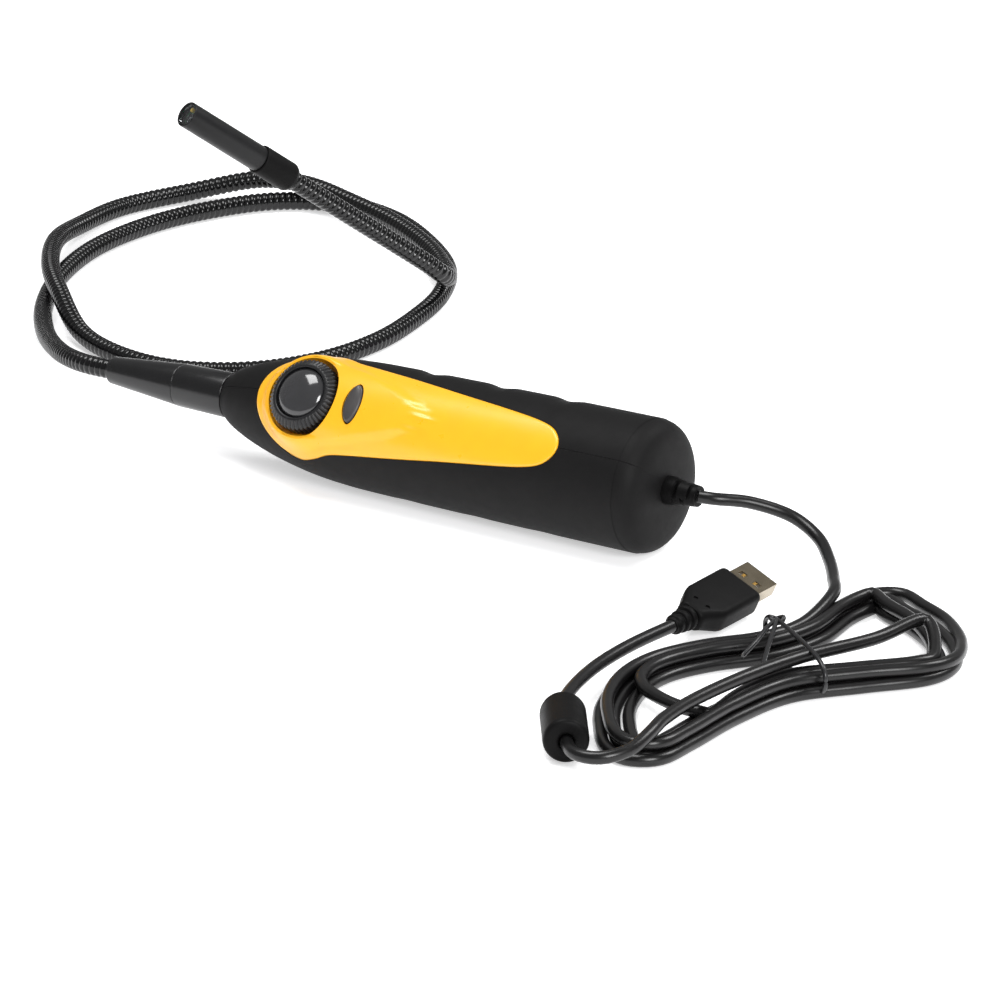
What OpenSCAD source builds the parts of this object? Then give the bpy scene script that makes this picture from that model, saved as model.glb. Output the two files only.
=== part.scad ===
// USB inspection camera: a torch-shaped handle with a brightness knob and a
// snapshot button, a gooseneck with a camera head, and a USB cable in a hank.
// Millimetres, +Z up. The handle lies along X with its cable end at +X.

/* [Handle] */
// radius of the thick rear end of the handle
handle_radius = 21.8; // [18:0.1:26]
// wall of the two handle shells
shell_wall = 3.2; // [2:0.1:4]
// how far the control panel leans from straight up, towards -Y
panel_roll = 52; // [0:1:80]
// depth of the finger grooves on the belly
groove_depth = 1.2; // [0.5:0.05:2]

/* [Controls] */
// radius of the brightness knob
knob_radius = 12.3; // [9:0.1:13]
// number of grip ribs round the knob
knob_ribs = 48; // [24:2:72]
// length of the snapshot button across the handle
button_length = 13; // [9:0.5:16]
// width of the snapshot button along the handle
button_width = 6.2; // [5:0.1:9]

/* [Gooseneck and head] */
// radius of the ridged gooseneck
neck_radius = 3.3; // [3:0.1:5]
// radius of the camera barrel
barrel_radius = 4.5; // [4:0.1:6]
// length of the camera barrel in front of its boot
barrel_length = 34; // [25:1:45]

/* [USB cable] */
// radius of the USB cable
cable_radius = 2.05; // [1.5:0.05:3]
// radius of the ferrite bead's cover
ferrite_radius = 7; // [5:0.5:9]
// how far the plug is rolled over on the table
plug_roll = 25; // [0:1:40]

/* [Hidden] */

// height of the handle's axis at its rear end, and how far the nose leans down
axis_height = handle_radius + 0.2;
nose_down = 0.6;

// moves the whole product so that the row's origin is under its middle
frame_shift = [164.9, -104.4, 0];

// handle outline: distance along the axis from the rear face, radius
nose_x = -163.2;
rear_x = 6.1;
relief_end = 17.5;
handle_outline = [
    [-163.2, 7.2], [-160.5, 9.2], [-157, 11], [-151, 13.3], [-144, 15.4], [-137, 17.1],
    [-129, 18.6], [-122, 19.6], [-114, 20.3], [-103, 20.8], [-76, 21.2], [-38, 21.6],
    [-2, 21.8], [0.8, 21.4], [3, 20.2], [4.5, 18.2], [5.6, 15], [6.1, 10]
];
groove_positions = [-88, -61.5, -36];
// how far round from the belly the grooves are centred
groove_turn = 40;

// control panel plan: distance along the axis, half width
panel_outline = [
    [-143.5, 0], [-142, 6.5], [-138, 11.8], [-132, 15.6], [-124.5, 17.7], [-118, 17.4],
    [-111.5, 16], [-105, 15.3], [-86, 13.6], [-66, 11.5], [-46, 9.5], [-35, 8], [-29, 6.2],
    [-25.6, 3.2], [-24.5, 0]
];
platform_outline = [
    [-139.5, 0], [-137.5, 7], [-132, 12.6], [-124, 15.2], [-115, 14.8], [-104, 13], [-92, 9.7],
    [-82, 6], [-77, 3], [-75, 0]
];

knob_x = -123.5;
knob_floor = 15.4;
well_radius = knob_radius + 1;
button_x = -103;
button_top = 22.9;
board_top = 2;
screw_positions = [[-24, -11], [-74, -12], [-134, -8]];

// gooseneck: from inside the ferrule, down to the table, round nearly twice and up
ferrule_end = -211.5;
neck_start = -180;
neck_route = [
    [-180, 0, 20.1], [-194, 0, 20], [-211, 0, 19.8], [-227, 3, 18.6], [-246, 16, 15.2],
    [-274, 45, 8.2], [-299, 77, 4], [-315, 107, 3.4], [-324, 139, 3.4], [-324, 169, 3.4],
    [-317, 195, 3.4], [-303, 218, 3.4], [-281, 229, 3.4], [-256, 225, 3.4], [-231, 210, 3.4],
    [-208, 189, 3.4], [-194, 164, 3.4], [-187, 138, 3.4], [-184, 112, 3.4], [-188, 86, 3.4],
    [-201, 64, 3.4], [-222, 51, 3.4], [-246, 51, 3.4], [-270, 60, 4.6], [-292, 77, 10],
    [-312, 98, 10.6], [-330, 125, 9], [-341, 154, 5], [-344, 183, 3.4], [-333, 209, 4],
    [-313, 223, 8.5], [-291, 222, 10.6], [-266, 214, 10.6], [-240, 203, 10.6],
    [-216, 188, 10.6], [-199, 173, 10.8], [-188, 160, 12.6], [-184, 151, 16.6], [-186, 144.5, 22]
];
riser_start = [-186, 144.5, 22];
arm_direction = [-0.331, -0.735, 0.592];
riser_length = 32;
arm_length = 34;
boot_length = 15.5;
tail_in_boot = 6.5;
tenon_radius = 4;

// USB cable: free stretch down to the hank, and the tail through the ferrite
cable_route = [
    [18.2, 0, 22.2], [23, 1.5, 22], [31, 9.5, 20], [42, 15.5, 16], [53.5, 13, 12], [64, 3, 9.6],
    [73, -9, 9], [80, -21, 9]
];
ferrite_start = [77.3, -164.8, 7];
ferrite_angle = atan2(19.8, -14.5);
ferrite_length = 24.5;
tail_route = [
    [97, -142, 11.5], [98.5, -152, 10.6], [98, -162, 8.4], [93, -169.8, 7.2], [84.8, -171, 7],
    [77.3, -164.8, 7], [70, -154.9, 7], [62.8, -145, 7], [57.5, -136, 7], [53, -122, 7],
    [50.5, -106, 7.3], [50.4, -88, 7.7], [52, -69, 7.8]
];

// hank of cable: its outermost turn, from the wide end down one side and back up the other
hank_loop = [
    [99, 2], [88, 7], [80, 0], [78, -18], [80, -40], [76, -57], [65, -73], [58, -90], [58, -108],
    [64, -126], [73.5, -141], [83, -152], [93, -156], [101, -150], [102, -134], [102, -110],
    [106, -86], [120, -67], [133, -51], [135, -36], [127, -20], [113, -6]
];
hank_bottom = 1.3;
hank_height = 12.6;
tie_centre = [94.5, -65.5];
tie_angle = -36;
tie_half_width = 24.6;

plug_centre = [52, -8, 7.8];
plug_front = -23;
plug_tip = -10.5;

rubber = [0.11, 0.11, 0.12];
gloss_black = [0.04, 0.04, 0.045];
yellow = [1, 0.72, 0.08];
metal = [0.75, 0.76, 0.78];
board_green = [0.05, 0.3, 0.14];
chip_black = [0.09, 0.09, 0.1];
gold = [0.85, 0.65, 0.25];

$fn = 96;

// ---- shared helpers ----

// the handle rests on its belly, a little nose down
module at_handle() {
    translate(frame_shift + [0, 0, axis_height]) rotate([0, -nose_down, 0])
        rotate([panel_roll, 0, 0]) children();
}

module along_x() {
    rotate([0, 90, 0]) children();
}

module at_knob() {
    at_handle() translate([knob_x, 0, 0]) children();
}

// solid of revolution about X from [x, radius] pairs, grown radially
module turned(outline, grow = 0) {
    last = len(outline) - 1;
    along_x() rotate_extrude() polygon(concat(
        [[0, outline[0][0]]],
        [for (p = outline) [p[1] + grow, p[0]]],
        [[0, outline[last][0]]]
    ));
}

// prism standing on local z = 0 over a mirrored plan outline
module plan_prism(outline, grow, low, high) {
    last = len(outline) - 1;
    far_side = [for (p = outline) [p[0], p[1] + grow]];
    near_side = [for (i = [last : -1 : 0]) [outline[i][0], -outline[i][1] - grow]];
    translate([0, 0, low]) linear_extrude(high - low) polygon(concat(far_side, near_side));
}

module slot_prism(long, wide, low, high) {
    straight = long - wide;
    translate([0, 0, low]) linear_extrude(high - low) {
        square([wide, straight], center = true);
        for (side = [-1, 1]) translate([0, side * straight / 2]) circle(wide / 2);
    }
}

// smooth route: Catmull-Rom through every point
function catmull(a, b, c, d, t) = 0.5 * (2 * b + (c - a) * t + (2 * a - 5 * b + 4 * c - d) * t * t
    + (3 * b - a - 3 * c + d) * t * t * t);
function route_point(r, i, t) = catmull(r[max(i - 1, 0)], r[i], r[i + 1], r[min(i + 2, len(r) - 1)], t);
function fine_route(r, steps) = concat(
    [for (i = [0 : len(r) - 2]) for (s = [0 : steps - 1]) route_point(r, i, s / steps)],
    [r[len(r) - 1]]
);
function unit(v) = v / norm(v);
function heading(p, i) = unit(p[min(i + 1, len(p) - 1)] - p[max(i - 1, 0)]);
function side_of(d) = unit(cross(d, [0, 0, 1]));
function ring(centre, d, radius, sides) = let (u = side_of(d), v = cross(u, d))
    [for (k = [0 : sides - 1]) centre + radius * (cos(360 * k / sides) * u + sin(360 * k / sides) * v)];

// closed tube swept along a route; its last end can be a ball
module tube(route, steps, radius, sides, ball_end = false) {
    path = fine_route(route, steps);
    count = len(path);
    end_way = heading(path, count - 1);
    ball = ball_end ? [25, 50, 72] : [];
    points = concat(
        [for (i = [0 : count - 1]) each ring(path[i], heading(path, i), radius, sides)],
        [for (a = ball) each ring(path[count - 1] + radius * sin(a) * end_way, end_way, radius * cos(a), sides)]
    );
    rings = count + len(ball);
    walls = [for (i = [0 : rings - 2]) for (k = [0 : sides - 1])
        [i * sides + k, (i + 1) * sides + k, (i + 1) * sides + (k + 1) % sides, i * sides + (k + 1) % sides]];
    first_end = [for (k = [0 : sides - 1]) k];
    last_end = [for (k = [sides - 1 : -1 : 0]) (rings - 1) * sides + k];
    translate(frame_shift) polyhedron(points, concat(walls, [first_end, last_end]), convexity = 12);
}

// ---- handle ----

module handle_inside() {
    difference() {
        turned(handle_outline, -shell_wall);
        translate([rear_x - shell_wall, -40, -40]) cube([20, 80, 80]);
        translate([nose_x - 1, -40, -40]) cube([9, 80, 80]);
    }
}

module finger_grooves() {
    // each groove is a ring wider than the handle, set away from its deep side
    shift = 0.62 * groove_depth;
    for (x = groove_positions) rotate([groove_turn, 0, 0]) translate([x, 0, shift]) along_x()
        rotate_extrude() translate([handle_radius + 9.6 - groove_depth + shift, 0]) circle(10);
}

module board_shelves() {
    intersection() {
        turned(handle_outline, -1);
        for (side = [-1, 1]) translate([-136, side * 12 - 3.5, -1.2]) cube([92, 7, 1.6]);
    }
}

module handle_body() {
    difference() {
        union() {
            difference() {
                turned(handle_outline);
                handle_inside();
            }
            board_shelves();
            intersection() {
                turned(handle_outline, -1);
                for (s = screw_positions) translate([s[0], 0, s[1]]) rotate([90, 0, 0])
                    cylinder(r = 3.4, h = 60, center = true);
            }
        }
        finger_grooves();
        // seat of the control panel
        intersection() {
            difference() {
                turned(handle_outline, 6);
                turned(handle_outline, -1.8);
            }
            plan_prism(panel_outline, 0.15, 0, 40);
        }
        // knob well, button stem and the two end bores
        translate([knob_x, 0, knob_floor - 1.9]) cylinder(r = well_radius + 1.4, h = 30);
        translate([button_x, 0, 0]) slot_prism(button_length + 3.6, button_width + 3.6, 9, 40);
        along_x() translate([0, 0, nose_x - 1]) cylinder(r = 5, h = 12);
        along_x() translate([0, 0, rear_x - 9]) cylinder(r = 3.6, h = 12);
    }
}

module left_shell() {
    color(rubber) at_handle() difference() {
        intersection() {
            handle_body();
            translate([nose_x - 2, 0, -40]) cube([180, 40, 80]);
        }
        for (s = screw_positions) translate([s[0], 0, s[1]]) rotate([-90, 0, 0]) {
            translate([0, 0, -1]) cylinder(r = 1.3, h = 30);
            translate([0, 0, 8]) cylinder(r = 2.4, h = 30);
        }
    }
}

module right_shell() {
    color(rubber) at_handle() difference() {
        intersection() {
            handle_body();
            translate([nose_x - 2, -40, -40]) cube([180, 40, 80]);
        }
        for (s = screw_positions) translate([s[0], 1, s[1]]) rotate([90, 0, 0])
            cylinder(r = 1.05, h = 11);
    }
}

module shell_screws() {
    color(metal) at_handle() for (s = screw_positions) translate([s[0], 0, s[1]]) rotate([-90, 0, 0]) {
        difference() {
            translate([0, 0, 8]) cylinder(r = 2.2, h = 1.8);
            for (turn = [0, 90]) rotate(turn) translate([-1.3, -0.25, 9]) cube([2.6, 0.5, 2]);
        }
        translate([0, 0, -9]) cylinder(r = 1, h = 17.5);
    }
}

module control_panel() {
    color(yellow) at_handle() difference() {
        union() {
            intersection() {
                difference() {
                    turned(handle_outline, 0.4);
                    turned(handle_outline, -1.8);
                }
                plan_prism(panel_outline, 0, 0, 40);
            }
            intersection() {
                difference() {
                    turned(handle_outline, 1.5);
                    turned(handle_outline, -1.5);
                }
                plan_prism(platform_outline, 0, 0, 40);
            }
            translate([knob_x, 0, knob_floor - 1.6]) cylinder(r = well_radius + 1.2, h = 3.4);
        }
        translate([knob_x, 0, knob_floor - 0.4]) cylinder(r = well_radius, h = 20);
        translate([knob_x, 0, 0]) cylinder(r = 4.4, h = 30);
        translate([button_x, 0, 0]) slot_prism(button_length + 0.8, button_width + 0.8, 9, 40);
    }
}

// ---- controls ----

module brightness_knob() {
    color(gloss_black) at_knob() translate([0, 0, knob_floor]) difference() {
        union() {
            linear_extrude(5) polygon([for (i = [0 : 4 * knob_ribs - 1])
                let (r = i % 4 < 2 ? knob_radius : knob_radius - 0.55, a = 360 * i / (4 * knob_ribs))
                [r * cos(a), r * sin(a)]]);
            translate([0, 0, 5]) cylinder(r1 = knob_radius - 0.6, r2 = knob_radius - 2.6, h = 1.8);
        }
        translate([0, 0, 5.4]) cylinder(r = 8.6, h = 3);
        translate([0, 0, -1]) cylinder(r = 3.05, h = 5);
    }
}

module knob_cap() {
    color(gloss_black) at_knob() translate([0, 0, knob_floor + 5.4]) intersection() {
        translate([0, 0, -11.4]) sphere(r = 14.6);
        cylinder(r = 8.5, h = 6);
    }
}

module knob_shaft() {
    color(metal) at_knob() translate([0, 0, 6]) cylinder(r = 3, h = knob_floor + 3.8 - 6);
}

module knob_potentiometer() {
    color(chip_black) at_knob() difference() {
        union() {
            translate([-6.5, -6.5, 3.6]) cube([13, 13, 5]);
            translate([0, 0, 8]) cylinder(r = 4.1, h = 4);
        }
        translate([0, 0, 5.6]) cylinder(r = 3.06, h = 10);
    }
}

module snapshot_button() {
    color(gloss_black) at_handle() translate([button_x, 0, 0]) {
        slot_prism(button_length, button_width, 15, button_top);
        slot_prism(button_length + 2, button_width + 2, 14, 15);
        translate([0, 0, 7]) cylinder(r = 2, h = 7.5);
    }
}

module snapshot_switch() {
    color(chip_black) at_handle() translate([button_x, 0, 0]) {
        translate([-3, -3, board_top]) cube([6, 6, 3.2]);
        translate([0, 0, board_top + 3]) cylinder(r = 1.6, h = 0.9);
    }
}

module circuit_board() {
    color(board_green) at_handle() difference() {
        translate([-140, -10, board_top - 1.6]) cube([100, 20, 1.6]);
        for (x = [-96, -44]) translate([x, 0, 0]) cylinder(r = 1.1, h = 5);
    }
}

module circuit_chips() {
    color(chip_black) at_handle() {
        translate([-82, -4.5, board_top]) cube([9, 9, 1.4]);
        translate([-66, -3, board_top]) cube([5, 6, 1.3]);
        translate([-91, 3, board_top]) cube([3, 5, 1]);
    }
}

module cable_socket() {
    color([0.92, 0.9, 0.84]) at_handle() translate([-52, -5, board_top]) cube([6, 10, 5]);
}

module signal_wires() {
    color([0.3, 0.3, 0.32]) at_handle() along_x() translate([0, 0, neck_start + 0.3])
        cylinder(r = 1.3, h = 39);
}

// ---- rear cable exit and nose ferrule ----

module strain_relief() {
    color(rubber) at_handle() difference() {
        along_x() {
            translate([0, 0, rear_x - 6.2]) cylinder(r = 5.6, h = 2.9);
            translate([0, 0, rear_x - 3.4]) cylinder(r = 3.5, h = 3.8);
            translate([0, 0, rear_x + 0.1]) cylinder(r1 = 4.7, r2 = 4.4, h = 3.6);
            translate([0, 0, rear_x + 3.6]) cylinder(r1 = 4.1, r2 = 3.4, h = relief_end - rear_x - 3.6);
        }
        along_x() translate([0, 0, -8]) cylinder(r = cable_radius + 0.05, h = 30);
        for (i = [0 : 2]) for (turn = [0, 180]) rotate([turn + 90 * (i % 2), 0, 0])
            translate([rear_x + 4 + 2.4 * i, -6, 2.6]) cube([1.3, 12, 6]);
    }
}

module cable_core_end() {
    color(rubber) at_handle() along_x() translate([0, 0, -40]) cylinder(r = cable_radius, h = relief_end + 40);
}

module ferrule_collar() {
    color(gloss_black) at_handle() difference() {
        along_x() {
            translate([0, 0, nose_x - 0.05 - 20]) cylinder(r1 = 7.1, r2 = 7.5, h = 20);
            translate([0, 0, nose_x - 1]) cylinder(r = 4.95, h = 9);
        }
        along_x() translate([0, 0, neck_start]) cylinder(r = 2, h = 40);
        along_x() translate([0, 0, neck_start - 12]) cylinder(r = neck_radius + 0.1, h = 12);
    }
}

module ferrule_sleeve() {
    color(gloss_black) at_handle() difference() {
        along_x() {
            translate([0, 0, nose_x - 38.1]) cylinder(r1 = 5.4, r2 = 7, h = 18);
            translate([0, 0, ferrule_end]) cylinder(r1 = 4.5, r2 = 5.4, h = -ferrule_end + nose_x - 38.1);
        }
        along_x() translate([0, 0, ferrule_end - 1]) cylinder(r = neck_radius + 0.1, h = 30);
    }
}

// ---- gooseneck and camera head ----

module at_arm(distance) {
    lean = acos(arm_direction[2]);
    turn = atan2(arm_direction[1], arm_direction[0]);
    translate(frame_shift + riser_start + distance * unit(arm_direction))
        rotate([0, lean, turn]) children();
}

module gooseneck_coil() {
    color(rubber) tube(neck_route, 2, neck_radius, 12, ball_end = true);
}

module gooseneck_riser() {
    color(rubber) at_arm(0) {
        difference() {
            cylinder(r = neck_radius, h = riser_length);
            sphere(r = neck_radius + 0.3);
        }
        translate([0, 0, riser_length]) sphere(r = neck_radius);
    }
}

module gooseneck_arm() {
    color(rubber) at_arm(riser_length) difference() {
        cylinder(r = neck_radius, h = arm_length + tail_in_boot);
        sphere(r = neck_radius + 0.3);
    }
}

module at_head(distance) {
    at_arm(riser_length + arm_length + distance) children();
}

module head_boot() {
    color(rubber) at_head(0) difference() {
        union() {
            cylinder(r1 = 4.2, r2 = 5.1, h = 1.6);
            translate([0, 0, 1.6]) cylinder(r = 5.1, h = boot_length - 1.6);
        }
        translate([0, 0, -1]) cylinder(r = neck_radius + 0.05, h = tail_in_boot + 1);
        cylinder(r = 1.1, h = 20);
        translate([0, 0, 9]) cylinder(r = tenon_radius + 0.05, h = 10);
    }
}

module head_barrel() {
    color(gloss_black) at_head(9) difference() {
        union() {
            cylinder(r = tenon_radius, h = 7);
            translate([0, 0, 6.5]) cylinder(r = barrel_radius, h = barrel_length);
        }
        translate([0, 0, 8]) cylinder(r = 3.7, h = 60);
        translate([0, 0, -1]) cylinder(r = 1.1, h = 10);
        translate([0, 0, barrel_length + 4.9]) cylinder(r = 3.95, h = 3);
    }
}

module lens_window() {
    color([0.75, 0.8, 0.82, 0.35]) at_head(boot_length + barrel_length - 1.6)
        cylinder(r = 3.9, h = 0.8);
}

module led_board() {
    color(board_green) at_head(boot_length + barrel_length - 4) difference() {
        cylinder(r = 3.65, h = 0.8);
        translate([0.9, 0.4, -1]) cylinder(r = 2, h = 3);
    }
}

module head_led() {
    color([1, 0.85, 0.3]) at_head(boot_length + barrel_length - 3.2) translate([-2.2, -1.2, 0])
        cylinder(r = 0.8, h = 1);
}

module camera_lens() {
    color(chip_black) at_head(boot_length + barrel_length - 9) translate([0.9, 0.4, 0]) difference() {
        cylinder(r = 1.9, h = 6.8);
        translate([0, 0, 1]) cylinder(r = 1.35, h = 8);
    }
}

module lens_glass() {
    color([0.55, 0.6, 0.65, 0.5]) at_head(boot_length + barrel_length - 3.4) translate([0.9, 0.4, 0])
        cylinder(r = 1.3, h = 0.8);
}

module image_sensor() {
    color(chip_black) at_head(boot_length + barrel_length - 9.9) translate([-1.6, -1.6, 0])
        cube([3.2, 3.2, 0.9]);
}

module sensor_board() {
    color(board_green) at_head(boot_length + barrel_length - 10.7) cylinder(r = 3.6, h = 0.8);
}

// ---- USB cable ----

module usb_cable() {
    color(rubber) tube(cable_route, 3, cable_radius, 8);
}

module usb_cable_tail() {
    color(rubber) tube(tail_route, 3, cable_radius, 8);
}

// point t of the way from one point of the hank's closed loop to the next
function loop_point(i, t) = let (n = len(hank_loop))
    catmull(hank_loop[(i + n - 1) % n], hank_loop[i], hank_loop[(i + 1) % n], hank_loop[(i + 2) % n], t);

module usb_cable_hank() {
    middle = [for (i = [0 : len(hank_loop) - 1]) for (t = [0, 1 / 3, 2 / 3]) loop_point(i, t)];
    last = len(middle) - 1;
    outline = [for (i = [0 : last])
        let (way = middle[i == last ? 0 : i + 1] - middle[i == 0 ? last : i - 1])
        middle[i] + cable_radius * [way[1], -way[0]] / norm(way)];
    color(rubber) translate(frame_shift + [0, 0, hank_bottom]) linear_extrude(hank_height)
        polygon(outline);
}

module hank_tie() {
    top = hank_bottom * 2 + hank_height;
    color(gloss_black) translate(frame_shift + [tie_centre[0], tie_centre[1], 0]) rotate(tie_angle) {
        difference() {
            translate([-tie_half_width - 0.9, -0.9, 0]) cube([2 * tie_half_width + 1.8, 1.8, top]);
            translate([-tie_half_width, -2, 0.9]) cube([2 * tie_half_width, 4, top - 1.8]);
        }
        translate([-15, 0, top - 0.4]) cylinder(r = 1.9, h = 2.4);
        for (turn = [45, 65]) translate([-15, 0, top + 1]) rotate([90, 0, turn]) cylinder(r = 0.7, h = 22);
    }
}

module at_ferrite() {
    translate(frame_shift + ferrite_start) rotate([0, 90, ferrite_angle]) children();
}

module ferrite_cover() {
    color(rubber) at_ferrite() difference() {
        union() {
            cylinder(r1 = 6, r2 = ferrite_radius, h = 1.2);
            translate([0, 0, 1.2]) cylinder(r = ferrite_radius, h = ferrite_length - 2.4);
            translate([0, 0, ferrite_length - 1.2]) cylinder(r1 = ferrite_radius, r2 = 6, h = 1.2);
        }
        translate([0, 0, 1.9]) cylinder(r = 5.7, h = ferrite_length - 3.8);
        translate([0, 0, -1]) cylinder(r = cable_radius + 0.1, h = 40);
    }
}

module ferrite_core() {
    color([0.2, 0.2, 0.21]) at_ferrite() difference() {
        translate([0, 0, 2]) cylinder(r = 5.6, h = ferrite_length - 4);
        cylinder(r = cable_radius + 0.15, h = 40);
    }
}

module at_plug() {
    translate(frame_shift + plug_centre) rotate([0, plug_roll, 0]) children();
}

module plug_overmould() {
    color(rubber) at_plug() difference() {
        union() {
            translate([0, 0, -4.2]) linear_extrude(8.4) polygon([
                [-8.2, plug_front], [8.2, plug_front], [8.2, -43], [4.8, -49.5], [4.8, -51],
                [-4.8, -51], [-4.8, -49.5], [-8.2, -43]
            ]);
            for (i = [0 : 2]) translate([0, -51 - 3 * i, 0]) rotate([90, 0, 0])
                cylinder(r = 4 - 0.35 * i, h = 2);
            translate([0, -50, 0]) rotate([90, 0, 0]) cylinder(r = 2.7, h = 11);
        }
        translate([-6.02, plug_front - 12, -2.27]) cube([12.04, 20, 4.54]);
    }
}

module plug_shell() {
    color(metal) at_plug() difference() {
        translate([-6, plug_front - 11.8, -2.25]) cube([12, plug_tip - plug_front + 11.8, 4.5]);
        translate([-5.7, plug_front - 11.5, -1.95]) cube([11.4, 30, 3.9]);
        for (side = [-1, 1]) translate([side * 2.8 - 1.25, plug_front + 4.2, -4]) cube([2.5, 2.2, 8]);
    }
}

module plug_tongue() {
    color([0.92, 0.92, 0.9]) at_plug() translate([-5.6, plug_front - 11.4, -1.9])
        cube([11.2, 22.8, 1.9]);
}

module plug_contacts() {
    color(gold) at_plug() for (x = [-3.5, -1, 1, 3.5]) translate([x - 0.5, plug_front - 6, 0])
        cube([1, 16.5, 0.25]);
}

// ---- one line per part ----

left_shell();
right_shell();
control_panel();
brightness_knob();
knob_cap();
knob_shaft();
knob_potentiometer();
snapshot_button();
snapshot_switch();
circuit_board();
circuit_chips();
cable_socket();
signal_wires();
shell_screws();
strain_relief();
cable_core_end();
ferrule_collar();
ferrule_sleeve();
gooseneck_coil();
gooseneck_riser();
gooseneck_arm();
head_boot();
head_barrel();
lens_window();
camera_lens();
lens_glass();
led_board();
head_led();
sensor_board();
image_sensor();
usb_cable();
usb_cable_hank();
usb_cable_tail();
hank_tie();
ferrite_cover();
ferrite_core();
plug_overmould();
plug_shell();
plug_tongue();
plug_contacts();
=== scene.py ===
"""Looks of the USB inspection camera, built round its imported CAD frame.

Layout points are in millimetres, as in part.scad; place() turns them into metres in the frame.
"""

import math

import bmesh
import bpy
from mathutils import Matrix, Vector


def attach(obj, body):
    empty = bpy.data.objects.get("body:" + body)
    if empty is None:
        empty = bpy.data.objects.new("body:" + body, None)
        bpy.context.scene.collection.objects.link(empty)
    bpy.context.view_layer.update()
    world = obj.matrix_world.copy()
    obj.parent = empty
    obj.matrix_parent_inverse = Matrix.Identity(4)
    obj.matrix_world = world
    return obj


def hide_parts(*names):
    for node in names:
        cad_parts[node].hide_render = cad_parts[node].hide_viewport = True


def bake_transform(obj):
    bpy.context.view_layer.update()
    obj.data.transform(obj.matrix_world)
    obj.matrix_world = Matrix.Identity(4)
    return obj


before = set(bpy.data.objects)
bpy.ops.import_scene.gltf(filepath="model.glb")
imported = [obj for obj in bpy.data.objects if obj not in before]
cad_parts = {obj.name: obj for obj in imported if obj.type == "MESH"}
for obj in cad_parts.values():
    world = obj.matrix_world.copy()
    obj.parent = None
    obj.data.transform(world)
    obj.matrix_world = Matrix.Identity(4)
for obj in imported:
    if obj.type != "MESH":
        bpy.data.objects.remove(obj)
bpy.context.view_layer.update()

MM = 0.001
SHIFT = Vector((164.9, -104.4, 0))
AXIS_HEIGHT = 22
TO_METRES = Matrix.Scale(MM, 4)
ALONG_X = Matrix.Rotation(math.radians(90), 4, "Y")
NOSE_DOWN = Matrix.Rotation(math.radians(-0.6), 4, "Y")
HANDLE = TO_METRES @ Matrix.Translation(
    SHIFT + Vector((0, 0, AXIS_HEIGHT))) @ NOSE_DOWN @ Matrix.Rotation(math.radians(52), 4, "X")
LATHE = HANDLE @ ALONG_X
NOSE_X = -163.2
KNOB_X = -123.5
KNOB_FLOOR = 15.4
KNOB = HANDLE @ Matrix.Translation((KNOB_X, 0, 0))
BUTTON_X = -103
RISER_START = Vector((-186, 144.5, 22))
ARM_WAY = Vector((-0.331, -0.735, 0.592)).normalized()
RISER_LENGTH = 32
ARM_LENGTH = 34
PLUG = TO_METRES @ Matrix.Translation(SHIFT + Vector((52, -8, 7.8))) @ Matrix.Rotation(
    math.radians(25), 4, "Y")
FERRITE_START = Vector((77.3, -164.8, 7))
FERRITE_ANGLE = math.atan2(19.8, -14.5)
FERRITE = TO_METRES @ Matrix.Translation(SHIFT + FERRITE_START) @ Matrix.Rotation(
    FERRITE_ANGLE, 4, "Z") @ ALONG_X


def place(point):
    """A layout point in millimetres as a point of the frame in metres."""
    return (Vector(point) + SHIFT) * MM


# ---- camera ----

def add_camera():
    """A long lens at the front right, looking 20 degrees down."""
    data = bpy.data.cameras.new("view_camera")
    data.sensor_width = 36
    data.lens = 288
    data.clip_end = 20
    camera = bpy.data.objects.new("view_camera", data)
    camera.location = (1.4545, -2.0932, 0.880)
    camera.rotation_euler = (math.radians(70), 0, math.radians(34.12))
    bpy.context.scene.collection.objects.link(camera)
    bpy.context.scene.camera = camera


add_camera()


# ---- paths ----

def smooth_path(points, steps):
    """Catmull-Rom through every point, with the same number of steps between each two."""
    points = [Vector(p) for p in points]
    last = len(points) - 1
    path = []
    for i in range(last):
        a, b, c, d = points[max(i - 1, 0)], points[i], points[i + 1], points[min(i + 2, last)]
        for step in range(steps):
            t = step / steps
            path.append(0.5 * (2 * b + (c - a) * t + (2 * a - 5 * b + 4 * c - d) * t * t
                               + (3 * b - a - 3 * c + d) * t ** 3))
    path.append(points[last])
    return path


def arc_lengths(path):
    """Distance along the path at each of its points."""
    total, lengths = 0.0, [0.0]
    for a, b in zip(path, path[1:]):
        total += (b - a).length
        lengths.append(total)
    return lengths


def evenly(path, spacing):
    """The same path with its points a fixed distance apart."""
    lengths = arc_lengths(path)
    count = max(2, round(lengths[-1] / spacing))
    spaced, i = [], 0
    for k in range(count + 1):
        wanted = lengths[-1] * k / count
        while i < len(path) - 2 and lengths[i + 1] < wanted:
            i += 1
        share = (wanted - lengths[i]) / max(lengths[i + 1] - lengths[i], 1e-9)
        spaced.append(path[i].lerp(path[i + 1], share))
    return spaced


def ease(t):
    """Goes smoothly from 0 to 1."""
    t = min(1, max(0, t))
    return t * t * (3 - 2 * t)


# ---- surfaces ----

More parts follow.
